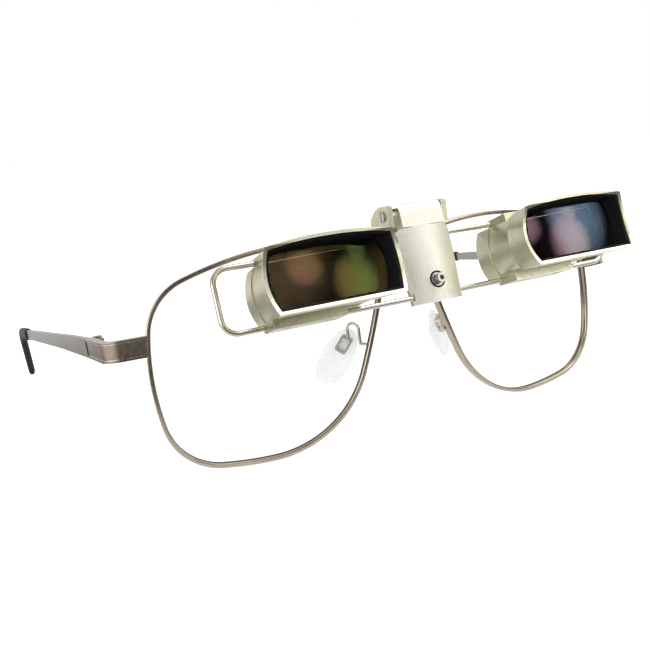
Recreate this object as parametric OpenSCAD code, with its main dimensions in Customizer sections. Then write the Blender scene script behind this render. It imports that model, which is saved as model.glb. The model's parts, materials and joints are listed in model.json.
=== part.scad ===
// Dental loupes: a metal spectacle frame with a flip-up pair of magnifiers on wire rails.
// Units are millimetres. +X is the wearer's left, -Y is the front and +Z is up.
// The origin is on the table, below the middle of the bridge, where the rims stand.

/* [Spectacle front] */
// Distance from the middle of the nose to the middle of a rim
rim_centre = 38.2; // [34:0.1:42]
// Angle each rim is swept back from the bridge
rim_wrap = 7.75; // [0:0.25:15]
// Width of the rim wire seen from the front
rim_face = 1.15; // [0.8:0.05:2]
// Depth of the rim wire from front to back
rim_depth = 2.1; // [1.5:0.1:3]
// Depth of the groove that holds a lens
lens_groove = 0.4; // [0.2:0.05:0.6]
// Half the length of the brow bar between the rims
bridge_half = 13.3; // [12:0.1:15]
// Height of the brow bar above the middle of the rims
bridge_top = 19.9; // [19:0.1:21]
// Height of an endpiece
endpiece_tall = 4.95; // [4:0.05:6]
// Thickness of an endpiece
endpiece_thick = 1.8; // [1.4:0.1:2.5]
// Outside radius of the endpiece bend
endpiece_bend = 4.5; // [3.5:0.1:7]
// Length of an endpiece behind its bend
endpiece_side = 13; // [8:0.5:16]

/* [Temples] */
// Angle a temple is spread outwards
temple_splay = 9; // [0:0.5:12]
// Angle a temple slopes down towards the ear
temple_drop = 2.15; // [0:0.05:6]
// Length of a temple from its hinge to its bend
temple_length = 105; // [95:1:115]
// Height of a temple at its bend
temple_end_tall = 3.4; // [2.5:0.1:4]
// Thickness of a temple
temple_thick = 1.2; // [1:0.1:1.8]
// Length of a tip behind the bend
tip_length = 37; // [30:1:45]
// Angle a tip bends down
tip_angle = 31; // [15:1:50]

/* [Flip hinge] */
// Distance of the flip pin in front of the rims
pin_front = 11.2; // [9:0.1:14]
// Height of the flip pin above the middle of the rims
pin_up = 22.4; // [21:0.1:25]
// Radius of the flip pin
pin_r = 0.75; // [0.5:0.05:1]
// Half the width over the two hinge ears
ear_half = 8.2; // [7:0.1:10]
// Thickness of a hinge ear
ear_thick = 1.5; // [1:0.1:2]

/* [Magnifier carrier] */
// Distance of the wire rails in front of the rims
rail_front = 16; // [13:0.1:20]
// Height of the middle of the rails above the middle of the rims
rail_up = 9.9; // [8:0.1:12]
// Angle the magnifiers look upwards
look_up = 14; // [0:0.5:20]
// Radius of a rail wire
rail_r = 0.65; // [0.4:0.05:1]
// Distance of each rail wire from the optical axis
rail_half = 7.1; // [6.8:0.1:8]
// Distance of the rail's outer end from the middle
rail_reach = 52; // [48:0.1:60]
// Half the width of the shield
shield_half = 7; // [6:0.1:9]
// Height of the shield
shield_tall = 18.2; // [16:0.1:20]

/* [Magnifiers] */
// Distance between the two optical axes
pupil_distance = 62; // [56:0.5:70]
// Radius of the ocular end
ocular_r = 13; // [11:0.1:14]
// Radius of the front edge of the hood
hood_r = 15.5; // [14:0.1:17]
// Distance of the front edge of the hood in front of the rails
hood_front = 17.9; // [15:0.1:22]
// Thickness of the hood wall
hood_wall = 0.7; // [0.6:0.1:1.5]

/* [Nose pads] */
// Length of a nose pad
pad_long = 17; // [12:0.5:18]
// Width of a nose pad
pad_wide = 8.4; // [6:0.1:10]

/* [Hidden] */
$fn = 96;
fine = 48;                       // facets of small round parts
fit = 0.05;                      // radial clearance of a running fit
eps = 0.02;                      // gap between parts that are fixed face to face

// The rim outline is a ring of tangent arcs, anticlockwise from the outer end of the top bar.
// The last two radii are worked out so that the ring closes.
rim_start = [17, 15.15];
rim_heading = 162;
rim_sweeps = [26, 98, 6, 68, 9, 71, 20, 62];
rim_free_radii = [94, 9, 230, 28, 85, 15];
rim_free = len(rim_free_radii);
rim_arcs = len(rim_sweeps);

function heading(i) = i == 0 ? rim_heading : heading(i - 1) + rim_sweeps[i - 1];
function turn(i) = [
    sin(heading(i + 1)) - sin(heading(i)),
    cos(heading(i)) - cos(heading(i + 1))
];
function gap(i) = i == 0 ? [0, 0] : gap(i - 1) + rim_free_radii[i - 1] * turn(i - 1);
function cross2(a, b) = a[0] * b[1] - a[1] * b[0];
rim_gap = gap(rim_free);
rim_det = cross2(turn(rim_free), turn(rim_free + 1));
rim_radii = concat(rim_free_radii, [
    -cross2(rim_gap, turn(rim_free + 1)) / rim_det,
    -cross2(turn(rim_free), rim_gap) / rim_det
]);
function corner(i) = i == 0 ? rim_start : corner(i - 1) + rim_radii[i - 1] * turn(i - 1);
function arc_centre(i) = corner(i) + rim_radii[i] * [-sin(heading(i)), cos(heading(i))];
function swing(angle, p) = [
    p[0] * cos(angle) - p[1] * sin(angle),
    p[0] * sin(angle) + p[1] * cos(angle)
];
function arc_points(centre, r, from, sweep) = [
    for (k = [0:1:steps(sweep)]) centre + swing(from + sweep * k / steps(sweep), [r, 0])
];
function steps(sweep) = ceil(abs(sweep) / 3);
function rim_points(inset) = [
    for (i = [0:1:rim_arcs - 1])
        each arc_points(arc_centre(i), rim_radii[i] - inset, heading(i) - 90, rim_sweeps[i])
];

// The object stands on the bottoms of the rims and on the two tips.
outer_bottom = arc_centre(3);
rim_low = outer_bottom[1] - rim_radii[3];
rim_low_y = outer_bottom[0] * sin(rim_wrap) + rim_depth * cos(rim_wrap) / 2;
seam_x = 71.4 + endpiece_bend * (sin(90 - temple_splay) - sin(rim_wrap)) + endpiece_side * sin(temple_splay);
seam_y = 3.8 + endpiece_bend * (cos(rim_wrap) - cos(90 - temple_splay)) + endpiece_side * cos(temple_splay);
seam_z = 0.95;
tip_r = 2.1;
bend_y = seam_y + temple_length * cos(temple_splay);
bend_z = seam_z - temple_length * sin(temple_drop);
tip_y = bend_y + tip_length * cos(tip_angle);
tip_z = bend_z - tip_length * sin(tip_angle);
stand_tilt = -atan2(tip_z - tip_r - rim_low, tip_y - rim_low_y);
stand_lift = tip_r - (tip_y * sin(stand_tilt) + tip_z * cos(stand_tilt));

hinge_in = 3.1;                  // distance of a temple pivot inside the outer face
knuckle_r = 1.2;
knuckle_half = 2.1;
temple_screw_r = 0.55;
tongue_half = 2.4;
tongue_low = -8.2;
shield_low = -9;
shield_back = -0.7;
shield_taper = 0.9;
plate_back = -2.2;
clamp_v = -3.95;
back_screw_u = 3.55;
back_screw_v = 4.6;
rail_inner = 5.2;
ocular_back = -6;
body_back = -0.75;
body_front = 7.6;
flat_half = 6.1;
ring_half = 6.45;
lens_back = 12.4;
lens_front = 15.4;
mouth_r = 16;
mouth_hollow = 1.5;
baffle_short = 0.3;
clamp_seat = 1.2;                // bottom of the recess around the clamp screw
washer_thick = 0.3;
pad_box = [15, 6.2, -9.1];
pad_splay = 35;
pad_lean = -37;
pad_drop = 4.3;

// ---------- placing ----------

// Turns the drawing frame, in which the rims are upright, into the standing pose.
module stand() {
    translate([0, 0, stand_lift])
        rotate([stand_tilt, 0, 0])
            children();
}

module wearer_left() {
    stand()
        children();
}

module wearer_right() {
    stand()
        mirror([1, 0, 0])
            children();
}

module on_rim() {
    translate([rim_centre, 0, 0])
        rotate([0, 0, rim_wrap])
            children();
}

// x runs to the wearer's left, y up along the magnifiers and z forwards out of them.
module on_rails(side = 0) {
    stand()
        translate([side * pupil_distance / 2, -rail_front, rail_up])
            rotate([90 - look_up, 0, 0])
                children();
}

module on_pin() {
    stand()
        translate([0, -pin_front, pin_up])
            rotate([90 - look_up, 0, 0])
                children();
}

module at_seam() {
    translate([seam_x, seam_y, seam_z])
        rotate([0, 0, -temple_splay])
            children();
}

module at_pad() {
    translate(pad_box)
        rotate([0, 0, pad_splay])
            rotate([0, pad_lean, 0])
                children();
}

// ---------- shared shapes ----------

module rod(r, x0, x1) {
    translate([x0, 0, 0])
        rotate([0, 90, 0])
            cylinder(r = r, h = x1 - x0, $fn = fine);
}

module rounded_plate(half_x, y0, y1, r) {
    translate([-half_x + r, y0])
        square([2 * (half_x - r), y1 - y0]);
    translate([-half_x, y0 + r])
        square([2 * half_x, y1 - y0 - 2 * r]);
    for (x = [-half_x + r, half_x - r], y = [y0 + r, y1 - r])
        translate([x, y])
            circle(r);
}

// A disc cut off flat above and below.
module flatted_disc(r, half) {
    intersection() {
        circle(r);
        square([2 * r, 2 * half], center = true);
    }
}

// ---------- spectacle front ----------

// A slab of the rim outline that starts this far behind its front face.
module rim_slab(inset, behind, depth) {
    on_rim()
        translate([0, behind + depth, 0])
            rotate([90, 0, 0])
                linear_extrude(depth)
                    polygon(rim_points(inset));
}

module rim() {
    color([0.45, 0.40, 0.36])
        difference() {
            rim_slab(0, 0, rim_depth);
            rim_slab(rim_face, -1, rim_depth + 2);
            rim_slab(rim_face - lens_groove, rim_depth / 2 - 0.4, 0.8);
        }
}

module rim_corner_cutter() {
    on_rim()
        translate([arc_centre(1)[0], 5, arc_centre(1)[1]])
            rotate([90, 0, 0])
                cylinder(r = rim_radii[1] + eps, h = 12);
}

module bridge() {
    color([0.74, 0.72, 0.66])
        stand()
            difference() {
                translate([0, -2.6, 0])
                    rotate([90, 0, 0])
                        linear_extrude(2.1)
                            difference() {
                                polygon([
                                    [-bridge_half, 18.7], [-10.5, bridge_top], [10.5, bridge_top],
                                    [bridge_half, 18.7], [bridge_half, 16], [0, 8], [-bridge_half, 16]
                                ]);
                                translate([0, 8])
                                    circle(7.5);
                            }
                rim_corner_cutter();
                mirror([1, 0, 0])
                    rim_corner_cutter();
            }
}

// A strip that runs round the endpiece, between two depths behind its outer face.
module endpiece_strip(outer, inner, tall) {
    corner = [71.4, 3.8];
    seam = [seam_x, seam_y];
    bend_centre = corner + endpiece_bend * [-sin(rim_wrap), cos(rim_wrap)];
    bend = 90 - temple_splay - rim_wrap;
    translate([0, 0, seam_z - tall / 2])
        linear_extrude(tall)
            polygon(concat(
                [corner + swing(rim_wrap, [-6.9, outer])],
                arc_points(bend_centre, endpiece_bend - outer, rim_wrap - 90, bend),
                [seam + swing(-temple_splay, [-outer, -0.1])],
                [seam + swing(-temple_splay, [-inner, -0.1])],
                arc_points(bend_centre, endpiece_bend - inner, -temple_splay, -bend),
                [corner + swing(rim_wrap, [-6.9, inner])]
            ));
}

// The outer face is sunk a little between two raised borders.
module endpiece_bar() {
    border_tall = 0.65;
    border_proud = 0.2;
    difference() {
        endpiece_strip(0, endpiece_thick, endpiece_tall);
        endpiece_strip(-1, border_proud, endpiece_tall - 2 * border_tall);
    }
}

module knuckle(z0, z1) {
    translate([-hinge_in, 0, z0])
        cylinder(r = knuckle_r, h = z1 - z0, $fn = fine);
}

module knuckle_leaf(y0, y1, z0, z1) {
    translate([-hinge_in - 0.55, y0, z0])
        cube([hinge_in - endpiece_thick + 0.75, y1 - y0, z1 - z0]);
}

module endpiece_knuckle(z0, z1) {
    knuckle(z0, z1);
    knuckle_leaf(-4, 0, z0, z1);
}

module endpiece() {
    color([0.42, 0.37, 0.32])
        difference() {
            union() {
                endpiece_bar();
                at_seam() {
                    endpiece_knuckle(-knuckle_half, -0.75);
                    endpiece_knuckle(0.75, knuckle_half);
                }
            }
            rim_slab(0, -1, rim_depth + 2);
            at_seam()
                translate([-hinge_in, 0, -5])
                    cylinder(r = temple_screw_r, h = 10, $fn = fine);
            translate([68.6, 4.35, -5])
                cylinder(r = 0.5, h = 8, $fn = fine);
            translate([68.6, 4.35, -2.5])
                cylinder(r = 0.75, h = 1.6, $fn = fine);
        }
}

module rim_lock_screw() {
    translate([68.6, 4.35, -1.3])
        difference() {
            union() {
                cylinder(r = 0.48, h = 4.2, $fn = fine);
                cylinder(r = 0.7, h = 0.38, $fn = fine);
            }
            translate([-1, -0.12, -0.1])
                cube([2, 0.24, 0.3]);
        }
}

module rim_lock_screws() {
    color([0.6, 0.6, 0.6]) {
        wearer_left()
            rim_lock_screw();
        wearer_right()
            rim_lock_screw();
    }
}

module temple_screw() {
    at_seam()
        translate([-hinge_in, 0, 0])
            difference() {
                union() {
                    translate([0, 0, -knuckle_half])
                        cylinder(r = temple_screw_r - fit, h = 2 * knuckle_half, $fn = fine);
                    translate([0, 0, knuckle_half + eps])
                        cylinder(r = 1.05, h = 0.35, $fn = fine);
                    translate([0, 0, knuckle_half - 0.1])
                        cylinder(r = temple_screw_r - fit, h = 0.3, $fn = fine);
                }
                translate([-1.2, -0.13, knuckle_half + 0.2])
                    cube([2.4, 0.26, 0.4]);
            }
}

module temple_screws() {
    color([0.66, 0.66, 0.66]) {
        wearer_left()
            temple_screw();
        wearer_right()
            temple_screw();
    }
}

// ---------- nose pads ----------

module pad_arm() {
    leg_y = 3.7;
    foot = [11.25, -1.75, -8.9];
    rise = [12.5, 1.2];
    wire_r = 0.42;
    away = atan2(pad_box[1] - rise[1], pad_box[0] - rise[0]);
    run = norm([rise[0] - foot[0], rise[1] - foot[1]]);
    color([0.70, 0.68, 0.64]) {
        difference() {
            translate(foot)
                rotate([0, 0, atan2(rise[1] - foot[1], rise[0] - foot[0])])
                    rod(wire_r, -0.6, run);
            rim_slab(0, 0, rim_depth);
        }
        translate([rise[0], rise[1], foot[2]]) {
            sphere(r = wire_r, $fn = fine);
            cylinder(r = wire_r, h = 3.6, $fn = fine);
            translate([0, 0, 3.6])
                rotate([0, 0, away])
                    translate([leg_y / 2, 0, 0])
                        rotate([90, 0, 0])
                            rotate_extrude(angle = 180)
                                translate([leg_y / 2, 0])
                                    circle(wire_r, $fn = fine);
            rotate([0, 0, away])
                translate([leg_y, 0, 1.2])
                    cylinder(r = wire_r, h = 2.4, $fn = fine);
        }
        at_pad()
            difference() {
                translate([0, 0.7, 0])
                    rotate([90, 0, 0])
                        linear_extrude(1.4)
                            difference() {
                                rounded_plate(1.6, -2.4, 2.4, 0.7);
                                rounded_plate(1.05, -1.7, 1.7, 0.4);
                            }
                rod(0.33, -3, 3);
            }
    }
}

module nose_pad() {
    color([0.92, 0.94, 0.94, 0.5])
        at_pad() {
            translate([0, 3.6, -pad_drop])
                rotate([90, 0, 0])
                    intersection() {
                        linear_extrude(2.4)
                            rounded_plate(pad_wide / 2, -pad_long / 2, pad_long / 2, pad_wide / 2 - 0.2);
                        translate([0, 0, 21.5])
                            sphere(r = 21.5);
                    }
            translate([-0.95, -0.55, -1.55])
                cube([1.9, 1.85, 3.1]);
            rod(0.3, -1.55, 1.55);
        }
}

// ---------- temples ----------

// The thin wire that runs on from the temple inside the tip.
module temple_core() {
    drop = temple_length * sin(temple_drop);
    rotate([90, 0, -90])
        translate([0, 0, 0.35])
            linear_extrude(0.5)
                polygon([
                    [-60, -1.5], [-60, -2.6],
                    [-temple_length + 2, -drop - 0.5], [-temple_length + 2, -drop + 0.5]
                ]);
}

module temple() {
    half = endpiece_tall / 2;
    end_half = temple_end_tall / 2;
    drop = temple_length * sin(temple_drop);
    sleeve = 16;
    color([0.68, 0.67, 0.64])
        at_seam()
            difference() {
                union() {
                    rotate([90, 0, -90])
                        linear_extrude(temple_thick)
                            polygon([
                                [-0.1, -half], [-0.1, half], [-16, half - 16 * tan(temple_drop)],
                                [-temple_length + sleeve, -drop + end_half + 0.45],
                                [-temple_length + sleeve, -drop - end_half + 0.75],
                                [-30, -half - 0.45]
                            ]);
                    temple_core();
                    knuckle(-0.7, 0.7);
                    knuckle_leaf(0, 5.5, -0.7, 0.7);
                    translate([-endpiece_thick - 0.2, 1.7, -0.7])
                        cube([endpiece_thick + 0.2 - temple_thick + 0.1, 3.8, 1.4]);
                }
                translate([-hinge_in, 0, -5])
                    cylinder(r = temple_screw_r, h = 10, $fn = fine);
            }
}

module tip() {
    drop = temple_length * sin(temple_drop);
    color([0.05, 0.05, 0.06])
        difference() {
            union() {
                at_seam()
                    rotate([-temple_drop, 0, 0])
                        translate([-temple_thick / 2, temple_length - 16, 0])
                            rotate([-90, 0, 0])
                                linear_extrude(16)
                                    rounded_plate(1.25, -tip_r, tip_r, 1.2);
                translate([seam_x, seam_y, seam_z])
                    rotate([0, 0, -temple_splay])
                        translate([-temple_thick / 2, temple_length * cos(temple_drop), -drop])
                            rotate([0, 0, temple_splay]) {
                                rotate([-90 - tip_angle, 0, 0])
                                    linear_extrude(tip_length)
                                        rounded_plate(1.25, -tip_r, tip_r, 1.2);
                                rotate([0, 90, 0])
                                    translate([0, 0, -1.25])
                                        cylinder(r = tip_r, h = 2.5);
                                translate([0, tip_length * cos(tip_angle), -tip_length * sin(tip_angle)])
                                    rotate([0, 90, 0])
                                        translate([0, 0, -1.25])
                                            cylinder(r = tip_r, h = 2.5);
                            }
            }
            at_seam()
                temple_core();
        }
}

// ---------- flip hinge ----------

module ear_outline() {
    intersection() {
        translate([-pin_front, pin_up - 5.5])
            circle(8);
        polygon([
            [-pin_front - 2.5, pin_up - 2.7], [-8.4, pin_up - 2.7], [-7.2, 16.2],
            [-4.72, 16.2], [-4.72, 26], [-pin_front - 2.5, 26]
        ]);
    }
}

module hinge_base() {
    color([0.80, 0.80, 0.74])
        stand()
            difference() {
                union() {
                    for (x = [-ear_half, ear_half - ear_thick])
                        translate([x, 0, 0])
                            rotate([90, 0, 90])
                                linear_extrude(ear_thick)
                                    ear_outline();
                    translate([-ear_half, -7.2, 16.2])
                        cube([2 * ear_half, 2.48, 4]);
                }
                translate([0, -pin_front, pin_up])
                    rod(pin_r + eps, -10, 10);
            }
}

module hinge_pin() {
    color([0.62, 0.62, 0.60])
        stand()
            translate([0, -pin_front, pin_up])
                difference() {
                    union() {
                        rod(pin_r, -ear_half - 0.2, ear_half + 0.2);
                        rod(1.35, -ear_half - 0.4, -ear_half - eps);
                        rod(1.35, ear_half + eps, ear_half + 0.4);
                    }
                    translate([-ear_half - 0.5, -0.2, -1.5])
                        cube([0.35, 0.4, 3]);
                }
}

module flip_cover() {
    cover_half = ear_half - ear_thick - 0.15;
    pin_v = (rail_front - pin_front) * sin(look_up) + (pin_up - rail_up) * cos(look_up);
    pin_w = (pin_up - rail_up) * sin(look_up) - (rail_front - pin_front) * cos(look_up);
    color([0.90, 0.90, 0.86]) {
        on_pin()
            difference() {
                union() {
                    rod(2.6, -cover_half, cover_half);
                    translate([-cover_half, -3.7, -0.2])
                        cube([2 * cover_half, 3.7, 2.8]);
                }
                rod(pin_r + fit, -10, 10);
                translate([-cover_half - 1, -4, -3])
                    cube([cover_half + 1 - 4.9, 5.2, 6]);
                rod(1.65, -cover_half - 1, -4.9);
            }
        on_rails()
            translate([-tongue_half, tongue_low, -0.55])
                cube([2 * tongue_half, pin_v - 3.6 - tongue_low, 1.1]);
        on_rails()
            translate([-tongue_half, pin_v - 3.7, pin_w - 0.2])
                cube([2 * tongue_half, 0.3, 1]);
    }
}

module flip_barrel() {
    color([0.82, 0.82, 0.78])
        stand()
            translate([0, -pin_front, pin_up])
                difference() {
                    rod(1.55, -ear_half + ear_thick + 0.1, -4.95);
                    rod(pin_r + fit, -10, 10);
                }
}

// ---------- shield and rails ----------

module rail_slot(v0, v1, u0, u1) {
    translate([u0, v0, shield_back - 0.1])
        cube([u1 - u0, v1 - v0, rail_r + 0.03 - shield_back + 0.1]);
}

// A rounded plate that is a little narrower at the bottom, drawn smaller all round by inset.
module shield_outline(inset) {
    half = shield_half - inset;
    low = shield_low + inset;
    high = shield_low + shield_tall - inset;
    intersection() {
        rounded_plate(half, low, high, 1.3);
        polygon([
            [-half + shield_taper, low], [half - shield_taper, low],
            [half, low + 12], [half, high], [-half, high], [-half, low + 12]
        ]);
    }
}

module shield_slots() {
    room = rail_r + 0.03;
    rail_slot(-rail_half - room, rail_half + room, rail_inner - room, rail_inner + room);
    rail_slot(rail_half - room, rail_half + room, rail_inner, shield_half + 1);
    rail_slot(-rail_half - room, -rail_half + room, rail_inner, shield_half + 1);
}

module shield() {
    color([0.90, 0.90, 0.85])
        on_rails()
            difference() {
                intersection() {
                    translate([0, shield_low, 0])
                        rotate([-90, 0, 0])
                            linear_extrude(shield_tall)
                                intersection() {
                                    translate([0, 15.7])
                                        circle(18);
                                    rounded_plate(shield_half, -2.6, -shield_back + 3, 1.8);
                                    translate([-10, -5])
                                        square([20, 5 - shield_back]);
                                }
                    translate([0, 0, -5])
                        linear_extrude(10)
                            shield_outline(0);
                }
                translate([-tongue_half - 0.1, tongue_low - 0.1, shield_back - 1])
                    cube([2 * tongue_half + 0.2, 20, 0.6 - shield_back + 1]);
                shield_slots();
                mirror([1, 0, 0])
                    shield_slots();
                for (u = [-back_screw_u, back_screw_u], v = [-back_screw_v, back_screw_v])
                    translate([u, v, -1])
                        cylinder(r = 0.5, h = 1.9, $fn = fine);
                translate([0, clamp_v, -1])
                    cylinder(r = 0.8, h = 5, $fn = fine);
                translate([0, clamp_v, clamp_seat])
                    cylinder(r = 2.05, h = 3, $fn = fine);
            }
}

module shield_back_plate() {
    color([0.78, 0.78, 0.73])
        on_rails()
            difference() {
                translate([0, 0, plate_back])
                    linear_extrude(shield_back - plate_back - eps)
                        shield_outline(0.1);
                for (u = [-back_screw_u, back_screw_u], v = [-back_screw_v, back_screw_v])
                    translate([u, v, plate_back - 0.1]) {
                        cylinder(r = 0.52, h = 3, $fn = fine);
                        cylinder(r = 1, h = 0.7, $fn = fine);
                    }
            }
}

module back_screws() {
    color([0.62, 0.62, 0.60])
        on_rails()
            for (u = [-back_screw_u, back_screw_u], v = [-back_screw_v, back_screw_v])
                translate([u, v, plate_back - 0.1])
                    difference() {
                        union() {
                            cylinder(r = 0.48, h = 2.9, $fn = fine);
                            cylinder(r = 0.95, h = 0.68, $fn = fine);
                        }
                        translate([-1.2, -0.12, -0.2])
                            cube([2.4, 0.24, 0.45]);
                    }
}

module rail_bend(u, v, r, start) {
    translate([u, v, 0])
        rotate_extrude(angle = 90, start = start)
            translate([r, 0])
                circle(rail_r, $fn = fine);
}

module rail() {
    tight = 1.4;
    wide = 3.4;
    color([0.83, 0.82, 0.77]) {
        for (v = [-rail_half, rail_half])
            translate([0, v, 0])
                rod(rail_r, rail_inner + tight, rail_reach - wide);
        translate([rail_inner, -rail_half + tight, 0])
            rotate([-90, 0, 0])
                cylinder(r = rail_r, h = 2 * (rail_half - tight), $fn = fine);
        translate([rail_reach, -rail_half + wide, 0])
            rotate([-90, 0, 0])
                cylinder(r = rail_r, h = 2 * (rail_half - wide), $fn = fine);
        rail_bend(rail_inner + tight, rail_half - tight, tight, 90);
        rail_bend(rail_inner + tight, -rail_half + tight, tight, 180);
        rail_bend(rail_reach - wide, rail_half - wide, wide, 0);
        rail_bend(rail_reach - wide, -rail_half + wide, wide, 270);
    }
}

module clamp_washer() {
    color([0.05, 0.05, 0.05])
        on_rails()
            translate([0, clamp_v, clamp_seat + eps])
                difference() {
                    cylinder(r = 2, h = washer_thick - eps, $fn = fine);
                    translate([0, 0, -1])
                        cylinder(r = 0.85, h = 3, $fn = fine);
                }
}

module clamp_screw() {
    head_seat = clamp_seat + washer_thick + 2 * eps;
    color([0.60, 0.60, 0.58])
        on_rails()
            translate([0, clamp_v, 0])
                difference() {
                    union() {
                        translate([0, 0, 0.6])
                            cylinder(r = 0.75, h = 2, $fn = fine);
                        translate([0, 0, head_seat])
                            cylinder(r = 1.6, h = 0.7, $fn = fine);
                        translate([0, 0, head_seat + 0.6])
                            cylinder(r = 1.3, h = 1, $fn = fine);
                        translate([0, 0, 3])
                            cylinder(r = 1.1, h = 1.3, $fn = fine);
                    }
                    translate([0, 0, 3.2])
                        cylinder(r = 0.65, h = 2, $fn = 6);
                }
}

// ---------- magnifiers ----------

// The inside or outside of the flared hood, drawn smaller all round by inset.
module hood_form(inset, w0, w1) {
    slope = (hood_r - ocular_r) / (hood_front - body_front);
    low_r = ocular_r + slope * (w0 - body_front) - inset;
    high_r = ocular_r + slope * (w1 - body_front) - inset;
    intersection() {
        translate([0, 0, w0])
            cylinder(r1 = low_r, r2 = high_r, h = w1 - w0);
        rotate([90, 0, 90])
            translate([0, 0, -20])
                linear_extrude(40)
                    polygon([
                        [-6.35 + inset, body_front], [6.35 - inset, body_front],
                        [7.8 - inset, hood_front + 0.2], [-6.95 + inset, hood_front + 0.2]
                    ]);
        translate([0, 7.8 - inset - 82, 0])
            cylinder(r = 82, h = 20, $fn = 360);
    }
}

// Hollows the mouth of a hood from side to side, this far behind its front edge.
module mouth_cutter(behind) {
    translate([0, 0, hood_front - mouth_hollow - behind + mouth_r])
        rod(mouth_r, -20, 20);
}

module hood() {
    color([0.84, 0.84, 0.79])
        difference() {
            hood_form(0, body_front + eps, hood_front);
            hood_form(hood_wall, body_front, hood_front + 0.2);
            mouth_cutter(0);
        }
}

module baffle() {
    color([0.04, 0.04, 0.05])
        difference() {
            hood_form(hood_wall + eps, body_front + eps, hood_front);
            hood_form(hood_wall + 0.5, body_front, hood_front + 0.2);
            mouth_cutter(baffle_short);
        }
}

module objective() {
    color([0.16, 0.15, 0.20, 0.5])
        intersection() {
            hood_form(hood_wall + 0.5 + eps, lens_back, lens_front);
            translate([0, 0, lens_front - 42])
                sphere(r = 42, $fn = 180);
        }
}

module body() {
    color([0.72, 0.72, 0.66])
        difference() {
            union() {
                translate([0, 0, body_back])
                    linear_extrude(body_front - body_back)
                        flatted_disc(ocular_r - 0.2, flat_half);
                translate([-11, 5.5, body_back])
                    cube([22, 1.2, 6 - body_back]);
                translate([-11, ring_half + 0.05, -1.3])
                    cube([22, 1.65, 7.3]);
            }
            translate([0, 0, body_back - 1])
                linear_extrude(body_front - body_back + 2)
                    flatted_disc(ocular_r - 1.2, flat_half - 1);
            translate([0, rail_half, 0])
                rod(rail_r + fit, -20, 20);
            for (u = [-8.5, 1.5])
                translate([u, -flat_half - 0.5, 3.6])
                    rotate([-90, 0, 0])
                        cylinder(r = 0.5, h = 1.3, $fn = fine);
        }
}

module ocular_ring() {
    color([0.76, 0.76, 0.70])
        difference() {
            translate([0, 0, ocular_back])
                linear_extrude(body_back - eps - ocular_back)
                    flatted_disc(ocular_r, ring_half);
            translate([0, 0, ocular_back - 1])
                linear_extrude(6)
                    flatted_disc(ocular_r - 1.9, ring_half - 1.6);
            translate([0, 0, ocular_back + 0.7])
                linear_extrude(6)
                    flatted_disc(ocular_r - 1, ring_half - 0.8);
        }
}

module ocular_lens() {
    color([0.75, 0.80, 0.82, 0.4])
        difference() {
            translate([0, 0, ocular_back + 0.7 + eps])
                linear_extrude(2.2)
                    flatted_disc(ocular_r - 1 - eps, ring_half - 0.8 - eps);
            translate([0, 0, ocular_back + 1.6 - 45])
                sphere(r = 45, $fn = 180);
        }
}

module rail_clamp() {
    color([0.78, 0.78, 0.72])
        difference() {
            union() {
                translate([-12, -8.3, -1.3])
                    cube([17, 8.3 - ring_half - 0.05, 7.3]);
                translate([-12, -7, body_back + eps])
                    cube([17, 7 - flat_half - eps, 6 - body_back - eps]);
            }
            translate([0, -rail_half, 0])
                rod(rail_r + fit, -20, 20);
            for (u = [-8.5, 1.5])
                translate([u, -8.4, 3.6])
                    rotate([-90, 0, 0]) {
                        cylinder(r = 0.52, h = 3, $fn = fine);
                        cylinder(r = 1, h = 0.6, $fn = fine);
                    }
        }
}

module clamp_screws() {
    color([0.60, 0.60, 0.58])
        for (u = [-8.5, 1.5])
            translate([u, -8.35, 3.6])
                rotate([-90, 0, 0])
                    difference() {
                        union() {
                            cylinder(r = 0.48, h = 3, $fn = fine);
                            cylinder(r = 0.95, h = 0.53, $fn = fine);
                        }
                        translate([-1.2, -0.12, -0.2])
                            cube([2.4, 0.24, 0.4]);
                    }
}

// ---------- nodes ----------

module rim_right() wearer_right() rim();
module rim_left() wearer_left() rim();
module endpiece_right() wearer_right() endpiece();
module endpiece_left() wearer_left() endpiece();
module pad_arm_right() wearer_right() pad_arm();
module pad_arm_left() wearer_left() pad_arm();
module temple_right() wearer_right() temple();
module temple_left() wearer_left() temple();
module tip_right() wearer_right() tip();
module tip_left() wearer_left() tip();
module nose_pad_right() wearer_right() nose_pad();
module nose_pad_left() wearer_left() nose_pad();
module rail_right() on_rails() mirror([1, 0, 0]) rail();
module rail_left() on_rails() rail();
module body_right() on_rails(-1) body();
module body_left() on_rails(1) body();
module hood_right() on_rails(-1) hood();
module hood_left() on_rails(1) hood();
module baffle_right() on_rails(-1) baffle();
module baffle_left() on_rails(1) baffle();
module objective_right() on_rails(-1) objective();
module objective_left() on_rails(1) objective();
module ocular_ring_right() on_rails(-1) ocular_ring();
module ocular_ring_left() on_rails(1) ocular_ring();
module ocular_lens_right() on_rails(-1) ocular_lens();
module ocular_lens_left() on_rails(1) ocular_lens();
module rail_clamp_right() on_rails(-1) rail_clamp();
module rail_clamp_left() on_rails(1) rail_clamp();
module clamp_screws_right() on_rails(-1) clamp_screws();
module clamp_screws_left() on_rails(1) clamp_screws();

rim_right();
rim_left();
bridge();
endpiece_right();
endpiece_left();
rim_lock_screws();
pad_arm_right();
pad_arm_left();
hinge_base();
hinge_pin();
temple_screws();
temple_right();
temple_left();
tip_right();
tip_left();
nose_pad_right();
nose_pad_left();
flip_cover();
flip_barrel();
shield();
shield_back_plate();
back_screws();
rail_right();
rail_left();
clamp_washer();
clamp_screw();
body_right();
body_left();
hood_right();
hood_left();
baffle_right();
baffle_left();
objective_right();
objective_left();
ocular_ring_right();
ocular_ring_left();
ocular_lens_right();
ocular_lens_left();
rail_clamp_right();
rail_clamp_left();
clamp_screws_right();
clamp_screws_left();
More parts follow.
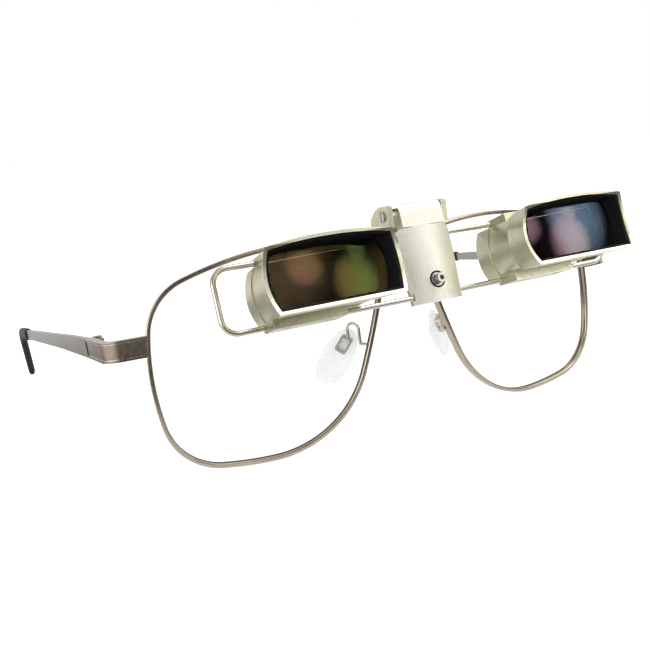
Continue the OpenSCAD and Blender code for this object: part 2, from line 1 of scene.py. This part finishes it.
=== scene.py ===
"""Dental loupes: materials, detail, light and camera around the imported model.

The model's own frame is in metres: +X is the wearer's left, -Y the front, +Z up. The shapes built here are
drawn in millimetres and scaled by MM.
"""
import json
from math import copysign, cos, radians, sin

import bmesh
import bpy
from mathutils import Matrix, Vector


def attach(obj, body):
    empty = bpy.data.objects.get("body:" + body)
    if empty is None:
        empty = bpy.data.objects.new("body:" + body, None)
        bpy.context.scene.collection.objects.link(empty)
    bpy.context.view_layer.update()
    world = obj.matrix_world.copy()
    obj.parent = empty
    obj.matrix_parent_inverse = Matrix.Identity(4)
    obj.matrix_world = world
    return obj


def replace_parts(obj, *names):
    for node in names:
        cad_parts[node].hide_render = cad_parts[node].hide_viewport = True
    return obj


MM = 0.001
SIDES = ("right", "left")

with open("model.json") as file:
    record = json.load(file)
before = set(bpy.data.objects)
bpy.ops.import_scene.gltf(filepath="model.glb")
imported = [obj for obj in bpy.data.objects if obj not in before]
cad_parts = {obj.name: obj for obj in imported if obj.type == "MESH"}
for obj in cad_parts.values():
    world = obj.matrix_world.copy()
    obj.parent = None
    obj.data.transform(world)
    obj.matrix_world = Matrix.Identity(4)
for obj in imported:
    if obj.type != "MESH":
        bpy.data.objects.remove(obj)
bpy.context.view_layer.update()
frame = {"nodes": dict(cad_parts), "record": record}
nodes = frame["nodes"]
scene = bpy.context.scene


# ---------- camera, light and floor ----------

CAMERA_AT = Vector((-86.8, -157.8, 67.5)) * MM
CAMERA_TURN = [radians(a) for a in (77.79, 6.70, -23.78)]
CAMERA_LENS = 38.77
ROOM = 0.04                      # brightness of the dim side of the room
FLOOR_GLOW = 0.8                 # keeps the paper white in the picture
WALL_AZIMUTH = 68                # the white wall stands behind the object as the camera sees it
# Soft lamps: azimuth, elevation and half-width in degrees, then brightness
LAMPS = [
    (-51, 14, 19, 2.9),          # most of the glow in both front lenses, and the front plates
    (-40, 30, 8, 1.3),           # a small green spot in the right front lens
    (-84, 31, 14, 2.3),          # brown in the right front lens, and its wire loop
    (-24, 58, 33, 3.5),          # the flip cover, the shield and the lower lips of the hoods
    (-155, 2, 45, 3.2),          # the wire loops and the sides of the rims
    (150, 40, 40, 0.6),          # a faint light on the rims
]


def add_camera():
    data = bpy.data.cameras.new("camera")
    data.lens = CAMERA_LENS
    data.sensor_width = 36
    data.clip_start = 0.005
    camera = bpy.data.objects.new("camera", data)
    camera.location = CAMERA_AT
    camera.rotation_euler = CAMERA_TURN
    scene.collection.objects.link(camera)
    scene.camera = camera


def heading(azimuth, elevation):
    """A unit direction, azimuth turning from +X towards +Y."""
    flat = cos(radians(elevation))
    return flat * cos(radians(azimuth)), flat * sin(radians(azimuth)), sin(radians(elevation))


def along(tree, place, direction):
    """How far a place lies along a direction."""
    node = tree.nodes.new("ShaderNodeVectorMath")
    node.operation = "DOT_PRODUCT"
    node.inputs[1].default_value = direction
    tree.links.new(place, node.inputs[0])
    return node.outputs["Value"]


def fade(tree, value, low, high, dim, bright):
    """A smooth step from dim at low to bright at high."""
    node = tree.nodes.new("ShaderNodeMapRange")
    node.interpolation_type = "SMOOTHSTEP"
    for name, number in (("From Min", low), ("From Max", high), ("To Min", dim), ("To Max", bright)):
        node.inputs[name].default_value = number
    tree.links.new(value, node.inputs["Value"])
    return node.outputs["Result"]


def for_camera(tree, seen, otherwise):
    """The backdrop is plain white in the picture, while the metal still mirrors a darker room."""
    path = tree.nodes.new("ShaderNodeLightPath")
    return mix_colour(tree, path.outputs["Is Camera Ray"], otherwise, seen)


def add_world():
    """A white wall behind the object, a pale ceiling, and soft lamps in a dim room before it."""
    world = bpy.data.worlds.new("studio")
    world.use_nodes = True
    tree = world.node_tree
    place = tree.nodes.new("ShaderNodeTexCoord").outputs["Generated"]
    wall = fade(tree, along(tree, place, heading(WALL_AZIMUTH, 0)), 0.05, 0.6, ROOM, 0.8)
    ceiling = fade(tree, along(tree, place, (0, 0, 1)), 0.5, 0.95, 0.0, 0.7)
    light = mix_colour(tree, 1.0, wall, ceiling, "LIGHTEN")
    for azimuth, elevation, spread, brightness in LAMPS:
        beam = along(tree, place, heading(azimuth, elevation))
        lamp = fade(tree, beam, cos(radians(spread)), 1.0, 0.0, brightness)
        light = mix_colour(tree, 1.0, light, lamp, "ADD")
    tree.links.new(for_camera(tree, (1, 1, 1), light), tree.nodes["Background"].inputs["Color"])
    scene.world = world


def add_floor():
    """White paper in the picture. The metal mirrors it in bands: dark before, bright beneath and behind."""
    mesh = bpy.data.meshes.new("floor")
    builder = bmesh.new()
    bmesh.ops.create_grid(builder, x_segments=8, y_segments=8, size=20)
    builder.to_mesh(mesh)
    builder.free()
    floor = bpy.data.objects.new("floor", mesh)
    floor.location.z = -0.2 * MM
    scene.collection.objects.link(floor)
    material, shader, tree = new_material("floor_paper")
    place = tree.nodes.new("ShaderNodeTexCoord").outputs["Object"]
    rearward = along(tree, place, (0, 1, 0))
    before = fade(tree, rearward, -0.14, -0.03, ROOM, 1.0)
    beneath = fade(tree, rearward, 0.09, 0.02, 0.3, 1.0)
    behind = fade(tree, rearward, 0.1, 0.28, ROOM, 0.95)
    aside = fade(tree, along(tree, place, (-1, 0, 0)), 0.15, 0.3, ROOM, 1.0)
    strip = mix_colour(tree, 1.0, before, beneath, "DARKEN")
    paper = mix_colour(tree, 1.0, strip, behind, "LIGHTEN")
    paper = mix_colour(tree, 1.0, paper, aside, "LIGHTEN")
    glow = for_camera(tree, (FLOOR_GLOW, FLOOR_GLOW, FLOOR_GLOW), paper)
    pale = for_camera(tree, (0.5, 0.5, 0.5), (0.08, 0.08, 0.08))
    tree.links.new(pale, shader.inputs["Base Color"])
    tree.links.new(glow, shader.inputs["Emission Color"])
    shader.inputs["Emission Strength"].default_value = 1
    shader.inputs["Roughness"].default_value = 0.9
    shader.inputs["Specular IOR Level"].default_value = 0.0
    mesh.materials.append(material)


# ---------- material building blocks ----------

def new_material(name):
    material = bpy.data.materials.new(name)
    material.use_nodes = True
    tree = material.node_tree
    return material, tree.nodes["Principled BSDF"], tree


def noise(tree, scale, detail=4.0, roughness=0.5, stretch=(1, 1, 1)):
    """Noise in the model's own frame. scale is in features per millimetre."""
    place = tree.nodes.new("ShaderNodeTexCoord")
    mapping = tree.nodes.new("ShaderNodeMapping")
    mapping.inputs["Scale"].default_value = [scale / MM * s for s in stretch]
    texture = tree.nodes.new("ShaderNodeTexNoise")
    texture.inputs["Scale"].default_value = 1
    texture.inputs["Detail"].default_value = detail
    texture.inputs["Roughness"].default_value = roughness
    tree.links.new(place.outputs["Object"], mapping.inputs["Vector"])
    tree.links.new(mapping.outputs["Vector"], texture.inputs["Vector"])
    return texture.outputs["Fac"]


def ramp(tree, value, stops):
    """stops is a list of (position, colour or grey)."""
    node = tree.nodes.new("ShaderNodeValToRGB")
    elements = node.color_ramp.elements
    while len(elements) < len(stops):
        elements.new(0.5)
    for element, (position, shade) in zip(elements, stops):
        element.position = position
        element.color = (*shade, 1) if isinstance(shade, tuple) else (shade, shade, shade, 1)
    tree.links.new(value, node.inputs["Fac"])
    return node.outputs["Color"]


def mix_colour(tree, factor, a, b, mode="MIX"):
    node = tree.nodes.new("ShaderNodeMix")
    node.data_type = "RGBA"
    node.blend_type = mode
    for socket, value in zip((node.inputs[0], node.inputs[6], node.inputs[7]), (factor, a, b)):
        if isinstance(value, bpy.types.NodeSocket):
            tree.links.new(value, socket)
        else:
            socket.default_value = value if isinstance(value, (int, float)) else (*value, 1)
    return node.outputs[2]


def bump(tree, shader, height, strength, depth_mm):
    node = tree.nodes.new("ShaderNodeBump")
    node.inputs["Strength"].default_value = strength
    node.inputs["Distance"].default_value = depth_mm * MM
    tree.links.new(height, node.inputs["Height"])
    tree.links.new(node.outputs["Normal"], shader.inputs["Normal"])


def edge_wear(tree, reach_mm=0.35):
    """Bright within reach of an edge, where hands have rubbed the surface."""
    rounded = tree.nodes.new("ShaderNodeBevel")
    rounded.inputs["Radius"].default_value = reach_mm * MM
    geometry = tree.nodes.new("ShaderNodeNewGeometry")
    turned = tree.nodes.new("ShaderNodeVectorMath")
    turned.operation = "DOT_PRODUCT"
    tree.links.new(rounded.outputs["Normal"], turned.inputs[0])
    tree.links.new(geometry.outputs["True Normal"], turned.inputs[1])
    return ramp(tree, turned.outputs["Value"], [(0.93, 1.0), (0.995, 0.0)])


# ---------- materials ----------

def blasted_metal(name, light, dark, roughness=0.42, grain=1.7, grain_depth=0.07):
    """Bead blasted and clear anodised: an even fine grain with soft clouding."""
    material, shader, tree = new_material(name)
    clouds = ramp(tree, noise(tree, 0.12, 3), [(0.35, dark), (0.65, light)])
    speckle = ramp(tree, noise(tree, grain, 2), [(0.3, 0.84), (0.7, 1.0)])
    colour = mix_colour(tree, 1.0, clouds, speckle, "MULTIPLY")
    worn = tuple(min(1.0, c * 1.1 + 0.12) for c in light)
    colour = mix_colour(tree, edge_wear(tree), colour, worn)
    tree.links.new(colour, shader.inputs["Base Color"])
    shader.inputs["Metallic"].default_value = 1.0
    rough = ramp(tree, noise(tree, 0.5, 4), [(0.3, roughness - 0.05), (0.7, roughness + 0.06)])
    tree.links.new(rough, shader.inputs["Roughness"])
    bump(tree, shader, noise(tree, grain, 3, 0.6), 0.5, grain_depth)
    return material


def coated_metal(name, coat, bare, roughness=0.3):
    """Satin coloured plating, rubbed through to the bare metal along its edges."""
    material, shader, tree = new_material(name)
    deep = tuple(c * 0.82 for c in coat)
    colour = ramp(tree, noise(tree, 0.2, 4), [(0.3, deep), (0.7, coat)])
    colour = mix_colour(tree, edge_wear(tree, 0.25), colour, bare)
    tree.links.new(colour, shader.inputs["Base Color"])
    shader.inputs["Metallic"].default_value = 1.0
    rough = ramp(tree, noise(tree, 1.2, 4), [(0.3, roughness - 0.06), (0.7, roughness + 0.08)])
    tree.links.new(rough, shader.inputs["Roughness"])
    bump(tree, shader, noise(tree, 4.0, 3), 0.25, 0.008)
    return material


def brushed_metal(name, light, dark, stretch, roughness=0.33, depth=0.006):
    """Fine brush lines along the axis where stretch is small."""
    material, shader, tree = new_material(name)
    lines = noise(tree, 6.0, 3, 0.6, stretch)
    colour = ramp(tree, lines, [(0.3, dark), (0.7, light)])
    colour = mix_colour(tree, edge_wear(tree), colour, tuple(min(1.0, c * 1.15) for c in light))
    tree.links.new(colour, shader.inputs["Base Color"])
    shader.inputs["Metallic"].default_value = 1.0
    shader.inputs["Anisotropic"].default_value = 0.4
    rough = ramp(tree, lines, [(0.2, roughness - 0.05), (0.8, roughness + 0.08)])
    tree.links.new(rough, shader.inputs["Roughness"])
    bump(tree, shader, lines, 0.35, depth)
    return material


def black_plastic(name):
    """Smooth moulded tip: slight orange peel and fine scuffs."""
    material, shader, tree = new_material(name)
    colour = ramp(tree, noise(tree, 0.3, 3), [(0.3, (0.010, 0.011, 0.013)), (0.7, (0.020, 0.022, 0.025))])
    tree.links.new(colour, shader.inputs["Base Color"])
    rough = ramp(tree, noise(tree, 2.0, 6, 0.7), [(0.35, 0.42), (0.7, 0.55)])
    tree.links.new(rough, shader.inputs["Roughness"])
    shader.inputs["Specular IOR Level"].default_value = 0.25
    bump(tree, shader, noise(tree, 0.9, 3), 0.3, 0.01)
    return material


def matt_black(name):
    """Matt black paint with a fine grain."""
    material, shader, tree = new_material(name)
    colour = ramp(tree, noise(tree, 1.0, 4), [(0.3, (0.003, 0.003, 0.004)), (0.7, (0.009, 0.009, 0.010))])
    tree.links.new(colour, shader.inputs["Base Color"])
    rough = ramp(tree, noise(tree, 3.0, 4), [(0.3, 0.55), (0.7, 0.75)])
    tree.links.new(rough, shader.inputs["Roughness"])
    shader.inputs["Specular IOR Level"].default_value = 0.15
    bump(tree, shader, noise(tree, 6.0, 2), 0.4, 0.02)
    return material


def lens_glass(name, tint, film_nm, film_index):
    """Coated optical glass: a thin film colours its reflections, and a little dust breaks them up."""
    material, shader, tree = new_material(name)
    shader.inputs["Base Color"].default_value = (*tint, 1)
    shader.inputs["Transmission Weight"].default_value = 1.0
    shader.inputs["IOR"].default_value = 1.52
    shader.inputs["Thin Film Thickness"].default_value = film_nm
    shader.inputs["Thin Film IOR"].default_value = film_index
    rough = ramp(tree, noise(tree, 1.5, 6, 0.75), [(0.55, 0.0), (0.8, 0.03)])
    tree.links.new(rough, shader.inputs["Roughness"])
    return material


def clear_silicone(name):
    """Soft clear plastic: mostly see-through, faintly clouded, with a satin shine."""
    material, shader, tree = new_material(name)
    colour = ramp(tree, noise(tree, 0.2, 3), [(0.3, (0.62, 0.63, 0.62)), (0.7, (0.72, 0.73, 0.72))])
    tree.links.new(colour, shader.inputs["Base Color"])
    shader.inputs["IOR"].default_value = 1.41
    clouded = ramp(tree, noise(tree, 0.4, 4), [(0.3, 0.32), (0.7, 0.44)])
    tree.links.new(clouded, shader.inputs["Alpha"])
    rough = ramp(tree, noise(tree, 1.5, 5, 0.6), [(0.3, 0.12), (0.7, 0.24)])
    tree.links.new(rough, shader.inputs["Roughness"])
    bump(tree, shader, noise(tree, 0.7, 3), 0.2, 0.02)
    return material


def turned_steel(name):
    """Screw heads: turned rings and small scratches."""
    material, shader, tree = new_material(name)
    scratches = noise(tree, 5.0, 6, 0.7, (1, 0.3, 1))
    colour = ramp(tree, scratches, [(0.3, (0.40, 0.39, 0.37)), (0.7, (0.60, 0.59, 0.56))])
    tree.links.new(colour, shader.inputs["Base Color"])
    shader.inputs["Metallic"].default_value = 1.0
    rough = ramp(tree, scratches, [(0.3, 0.24), (0.7, 0.4)])
    tree.links.new(rough, shader.inputs["Roughness"])
    bump(tree, shader, scratches, 0.3, 0.01)
    return material


SLOTS = {
    "rim_metal": coated_metal("rim_coat", (0.45, 0.395, 0.315), (0.56, 0.51, 0.43), 0.16),
    "endpiece_metal": coated_metal("endpiece_coat", (0.38, 0.315, 0.235), (0.85, 0.80, 0.70), 0.2),
    "temple_metal": brushed_metal("temple_satin", (0.40, 0.375, 0.345), (0.33, 0.31, 0.28), (1, 0.04, 1)),
    "tip_plastic": black_plastic("tip_black"),
    "housing_metal": blasted_metal("housing_blasted", (0.66, 0.64, 0.46), (0.62, 0.60, 0.42), 0.32),
    # The shield has the housings' blasted metal made far paler: painted light, standing in for the bright
    # sheen the shield catches.
    "shield_metal": blasted_metal("shield_blasted_painted_light", (0.94, 0.92, 0.80), (0.92, 0.895, 0.77), 0.5, 3.0, 0.04),
    "wire_metal": brushed_metal("wire_drawn", (0.56, 0.53, 0.46), (0.44, 0.41, 0.35), (0.05, 1, 1), 0.18),
    "screw_metal": turned_steel("screw_steel"),
    "baffle_black": matt_black("baffle_black"),
    "lens_glass": lens_glass("lens_green_coat", (0.96, 0.98, 0.97), 456, 1.34),
    "pad_silicone": clear_silicone("pad_clear"),
}
LENS_LILAC = lens_glass("lens_lilac_coat", (0.97, 0.96, 0.99), 318, 1.65)
LENS_NO_GLARE = lens_glass("lens_no_glare_coat", (0.96, 0.98, 0.97), 112, 1.23)
# The eyepiece lenses are tinted almost black under their thin coating film: painted shade that keeps the
# inside of each magnifier dark.
OCULAR_LENSES = {
    "right": lens_glass("ocular_painted_shade_green_coat", (0.004, 0.0037, 0.0034), 112, 1.25),
    "left": lens_glass("ocular_painted_shade_lilac_coat", (0.004, 0.0037, 0.0042), 112, 1.25),
}


# ---------- shapes rebuilt in the visual model ----------

# The spectacle front was drawn upright and then stood on the table, tilted and lifted.
STAND_TILT = radians(-3.2155)
STAND_LIFT = 32.851


def stand(point):
    """A point of the upright drawing, in millimetres, to the model's frame."""
    return (Matrix.Rotation(STAND_TILT, 3, "X") @ Vector(point) + Vector((0, 0, STAND_LIFT))) * MM


def add_mesh(name, body, slot, sharp=40):
    """Returns a builder and a function that turns it into a piece riding on body."""
    builder = bmesh.new()

    def done():
        bmesh.ops.recalc_face_normals(builder, faces=builder.faces)
        for edge in builder.edges:
            edge.smooth = edge.calc_face_angle(0) < radians(sharp)
        for face in builder.faces:
            face.smooth = True
        mesh = bpy.data.meshes.new(name)
        builder.to_mesh(mesh)
        builder.free()
        mesh.materials.append(SLOTS[slot])
        piece = bpy.data.objects.new(name, mesh)
        scene.collection.objects.link(piece)
        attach(piece, body)
        return piece

    return builder, done


def skin(builder, rings, closed=False, capped=True):
    """Joins rings of points, each a closed loop, into a tube."""
    made = [[builder.verts.new(point) for point in ring] for ring in rings]
    pairs = list(zip(made, made[1:] + made[:1])) if closed else list(zip(made, made[1:]))
    for low, high in pairs:
        for k in range(len(low)):
            after = (k + 1) % len(low)
            builder.faces.new((low[k], low[after], high[after], high[k]))
    if capped and not closed:
        builder.faces.new(made[0])
        builder.faces.new(made[-1])


RIM_CENTRE, RIM_WRAP = 38.2, 7.75
RIM_START = (17, 15.15)
RIM_HEADING = 162
RIM_SWEEPS = (26, 98, 6, 68, 9, 71, 20, 62)
RIM_FREE_RADII = (94, 9, 230, 28, 85, 15)
RIM_FACE, RIM_DEPTH = 1.15, 2.1
GROOVE_WIDTH, GROOVE_DEPTH = 0.8, 0.38


def polar(angle):
    return Vector((cos(radians(angle)), sin(radians(angle))))


def cross(one, two):
    return one.x * two.y - one.y * two.x


def rim_outline():
    """(point, outward direction) all round the rim: tangent arcs whose last two radii close the ring."""
    headings = [RIM_HEADING + sum(RIM_SWEEPS[:i]) for i in range(len(RIM_SWEEPS) + 1)]
    turns = [polar(b - 90) - polar(a - 90) for a, b in zip(headings, headings[1:])]
    gap = sum((r * turn for r, turn in zip(RIM_FREE_RADII, turns)), Vector((0, 0)))
    one, two = turns[-2:]
    radii = RIM_FREE_RADII + (-cross(gap, two) / cross(one, two), -cross(one, gap) / cross(one, two))
    at = Vector(RIM_START)
    outline = []
    for radius, sweep, heading, turn in zip(radii, RIM_SWEEPS, headings, turns):
        centre = at + radius * polar(heading + 90)
        steps = max(round(sweep / 3), round(radius * radians(sweep) / 1.5))
        for k in range(steps):
            out = polar(heading - 90 + sweep * k / steps)
            outline.append((centre + radius * out, out))
        at = at + radius * turn
    return outline


def rim_profile():
    """(inset, distance behind the front) round the wire: soft corners and a lens groove inside."""
    soft = 0.32
    corners = [
        ((soft, RIM_DEPTH - soft), 90), ((soft, soft), 180),
        ((RIM_FACE - soft, soft), 270), ((RIM_FACE - soft, RIM_DEPTH - soft), 0),
    ]
    profile = []
    for (x, y), start in corners:
        profile += [Vector((x, y)) + soft * polar(start + 18 * k) for k in range(6)]
        if start == 270:
            near, far = RIM_DEPTH / 2 - GROOVE_WIDTH / 2, RIM_DEPTH / 2 + GROOVE_WIDTH / 2
            floor = RIM_FACE - GROOVE_DEPTH
            profile += [Vector(p) for p in ((RIM_FACE, near), (floor, near), (floor, far), (RIM_FACE, far))]
    return profile


def build_rim(side):
    sign = 1 if side == "left" else -1
    wrap = Matrix.Rotation(radians(RIM_WRAP), 3, "Z")
    builder, done = add_mesh(f"rim_wire_{side}", "frame", "rim_metal")
    rings = []
    for point, out in rim_outline():
        ring = []
        for inset, behind in rim_profile():
            flat = point - inset * out
            place = wrap @ Vector((flat.x, behind, flat.y)) + Vector((RIM_CENTRE, 0, 0))
            ring.append(stand((sign * place.x, place.y, place.z)))
        rings.append(ring)
    skin(builder, rings, closed=True)
    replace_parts(done(), f"rim_{side}")


def rounded_section(half_x, half_y, power=3.0, count=24):
    """A superellipse, between an oval and a rounded rectangle."""
    points = []
    for k in range(count):
        across = polar(360 * k / count)
        x = half_x * copysign(abs(across.x) ** (2 / power), across.x)
        y = half_y * copysign(abs(across.y) ** (2 / power), across.y)
        points.append(Vector((x, y)))
    return points


RAIL_ORIGIN = Vector((0, -16, 9.9))
LOOK_UP = 14
EYE = 31                         # distance of an optical axis from the middle, in mm


def on_rails(side, point):
    """A point in a magnifier's own frame: x sideways, y up, z forwards out of it."""
    sign = 1 if side == "left" else -1
    turned = Matrix.Rotation(radians(90 - LOOK_UP), 3, "X") @ Vector(point)
    return stand(turned + RAIL_ORIGIN + Vector((sign * EYE, 0, 0)))


def flatted_ring(radius, half, count=48):
    """A circle cut off flat above and below."""
    points = []
    for k in range(count):
        at = radius * polar(360 * k / count)
        points.append(Vector((at.x, max(-half, min(half, at.y)))))
    return points


# (distance forwards, radius, half height) along the black paint: out inside, then back by the metal
LINING_PROFILE = (
    (-5.2, 11.0, 4.8), (-0.8, 11.6, 5.0), (7.6, 11.6, 5.0),
    (7.6, 11.75, 5.08), (-0.8, 11.75, 5.08),
)


def build_lining(side):
    """The black paint inside a magnifier's body."""
    builder, done = add_mesh(f"barrel_lining_{side}", f"loupe_{side}", "baffle_black")
    rings = []
    for forwards, radius, half in LINING_PROFILE:
        rings.append([on_rails(side, (p.x, p.y, forwards)) for p in flatted_ring(radius, half)])
    skin(builder, rings, capped=False)
    done()


GLASS_BACK, GLASS_FRONT, GLASS_CURVE = 12.4, 15.4, 42
BARREL_FRONT, HOOD_FRONT = 7.6, 17.9
GLASS_AT_BARREL = (11.78, 5.13, 5.13)      # half-width, height above and depth below the axis
GLASS_AT_HOOD = (14.28, 6.58, 5.73)


def glass_edge(depth, angle):
    """Distance from the axis to a lens's edge: a circle cut flat above and below that flares forwards."""
    share = (depth - BARREL_FRONT) / (HOOD_FRONT - BARREL_FRONT)
    radius, above, below = (a + share * (b - a) for a, b in zip(GLASS_AT_BARREL, GLASS_AT_HOOD))
    rise = sin(radians(angle))
    flat = above if rise > 0 else below
    return min(radius, flat / max(abs(rise), 0.01))


def build_objective(side, glass, back_glass):
    """The front lens of a magnifier: domed in front, flat behind, its edge blackened."""
    builder, done = add_mesh(f"objective_glass_{side}", f"loupe_{side}", "lens_glass", sharp=30)
    angles = [360 * k / 72 for k in range(72)]

    def dome(x, y):
        return GLASS_FRONT - GLASS_CURVE + (GLASS_CURVE ** 2 - x * x - y * y) ** 0.5

    rings = []
    for share in (0.05, 0.2, 0.35, 0.5, 0.65, 0.8, 0.9, 1):
        flat = [share * glass_edge(GLASS_FRONT - 1.5, angle) * polar(angle) for angle in angles]
        rings.append([on_rails(side, (p.x, p.y, dome(p.x, p.y))) for p in flat])
    back = [glass_edge(GLASS_BACK, angle) * polar(angle) for angle in angles]
    for share in (1, 0.6, 0.2):
        rings.append([on_rails(side, (share * p.x, share * p.y, GLASS_BACK)) for p in back])
    skin(builder, rings)
    piece = done()
    materials = piece.data.materials
    materials[0] = glass
    materials.append(SLOTS["baffle_black"])
    materials.append(back_glass)
    axis = (on_rails(side, (0, 0, 1)) - on_rails(side, (0, 0, 0))).normalized()
    for face in piece.data.polygons:
        facing = face.normal.dot(axis)
        if facing < -0.6:
            face.material_index = 2
        elif facing < 0.6:
            face.material_index = 1
    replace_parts(piece, f"objective_{side}")


PAD_BOX = Vector((15, 6.2, -9.1))
PAD_SPLAY, PAD_LEAN, PAD_DROP = 35, -37, 4.3
PAD_HALF = (4.2, 8.5)
PAD_BACK, PAD_EDGE, PAD_FRONT = 1.25, 1.95, 3.6
PAD_DOME = 43                    # twice the radius of the domed front, in mm


def build_pad(side):
    """A clear nose pad: a domed oval, wider at the bottom, on a small block that clips into its box."""
    sign = 1 if side == "left" else -1
    turn = Matrix.Rotation(radians(PAD_SPLAY), 3, "Z") @ Matrix.Rotation(radians(PAD_LEAN), 3, "Y")

    def place(x, y, z):
        at = turn @ Vector((x, y, z)) + PAD_BOX
        return stand((sign * at.x, at.y, at.z))

    def ring(share, front):
        points = []
        for p in rounded_section(*PAD_HALF, 2.3, 40):
            x, z = share * p.x * (1 - 0.1 * p.y / PAD_HALF[1]), share * p.y
            if front:
                dome = PAD_FRONT - (x * x + z * z) / PAD_DOME
                y = PAD_EDGE + (dome - PAD_EDGE) * (1 - share ** 5) ** 0.5
            else:
                y = PAD_EDGE - (PAD_EDGE - PAD_BACK) * (1 - share ** 8) ** 0.5
            points.append(place(x, y, z - PAD_DROP))
        return points

    builder, done = add_mesh(f"pad_{side}", f"pad_{side}", "pad_silicone", sharp=60)
    shares = [sin(radians(a)) for a in range(4, 91, 6)] + [1]
    rings = [ring(share, True) for share in shares]
    rings += [ring(share, False) for share in reversed(shares[:-1])]
    skin(builder, rings)
    block = bmesh.ops.create_cube(builder, size=1)["verts"]
    for vert in block:
        x, y, z = vert.co
        vert.co = place(1.9 * x, 0.4 + 1.75 * y, 3.1 * z)
    edges = list({edge for vert in block for edge in vert.link_edges})
    bmesh.ops.bevel(builder, geom=edges, offset=0.2 * MM, segments=3, affect="EDGES", profile=0.5)
    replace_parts(done(), f"nose_pad_{side}")


SEAM = Vector((77.27, 20.39, 0.95))
TEMPLE_SPLAY, TEMPLE_DROP, TEMPLE_LENGTH = 9, 2.15, 105
TIP_HALF = (1.25, 2.1)
TIP_SLEEVE, TIP_LENGTH, TIP_ANGLE = 16, 37, 31


def build_tip(side):
    """The moulded sleeve over a temple's end: straight, bent down behind the ear, with a round end."""
    sign = 1 if side == "left" else -1
    splay = Matrix.Rotation(radians(-TEMPLE_SPLAY), 3, "Z")
    arm = splay @ Vector((0, cos(radians(TEMPLE_DROP)), -sin(radians(TEMPLE_DROP))))
    down = Vector((0, cos(radians(TIP_ANGLE)), -sin(radians(TIP_ANGLE))))
    bend = SEAM + splay @ Vector((-0.6, 0, 0)) + TEMPLE_LENGTH * arm
    soft = 5.0
    path = [(bend - s * arm, arm) for s in (TIP_SLEEVE, TIP_SLEEVE - 0.4, TIP_SLEEVE - 1.2, 11, 8)]
    for k in range(13):
        t = k / 12
        at = bend - soft * (1 - t) ** 2 * arm + soft * t ** 2 * down
        path.append((at, ((1 - t) * arm + t * down).normalized()))
    path += [(bend + s * down, down) for s in (9, 15, 22, 29, 34)]
    path += [(bend + (TIP_LENGTH + TIP_HALF[1] * sin(radians(a))) * down, down) for a in range(0, 81, 10)]
    builder, done = add_mesh(f"tip_sleeve_{side}", f"temple_arm_{side}", "tip_plastic", sharp=60)
    rings = []
    for at, ahead in path:
        gone = (at - bend).dot(down) - TIP_LENGTH
        size = max(0.12, (1 - min(1, max(0, gone / TIP_HALF[1])) ** 2) ** 0.5)
        begun = (at - bend).dot(arm) + TIP_SLEEVE
        size *= min(1, 0.82 + 0.25 * begun ** 0.5) if begun < 0.7 else 1
        across = ahead.cross(Vector((0, 0, 1))).normalized()
        up = across.cross(ahead)
        ring = []
        for p in rounded_section(*TIP_HALF, 2.7):
            place = at + size * (p.x * across + p.y * up)
            ring.append(stand((sign * place.x, place.y, place.z)))
        rings.append(ring)
    skin(builder, rings)
    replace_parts(done(), f"tip_{side}")


# ---------- the CAD nodes ----------

def dress_nodes():
    for entry in frame["record"]["subparts"]:
        piece = nodes[entry["node"]]
        piece.data.materials.clear()
        piece.data.materials.append(SLOTS[entry["material_slot"]])
    # The eyepiece lenses get the near-black glass: painted shade inside the magnifiers.
    for side, glass in OCULAR_LENSES.items():
        nodes[f"ocular_lens_{side}"].data.materials[0] = glass


dress_nodes()
for side in SIDES:
    build_rim(side)
    build_lining(side)
    build_pad(side)
    build_tip(side)
build_objective("right", SLOTS["lens_glass"], LENS_NO_GLARE)
build_objective("left", LENS_LILAC, LENS_LILAC)
add_floor()
add_camera()
add_world()
scene.view_settings.view_transform = "Standard"
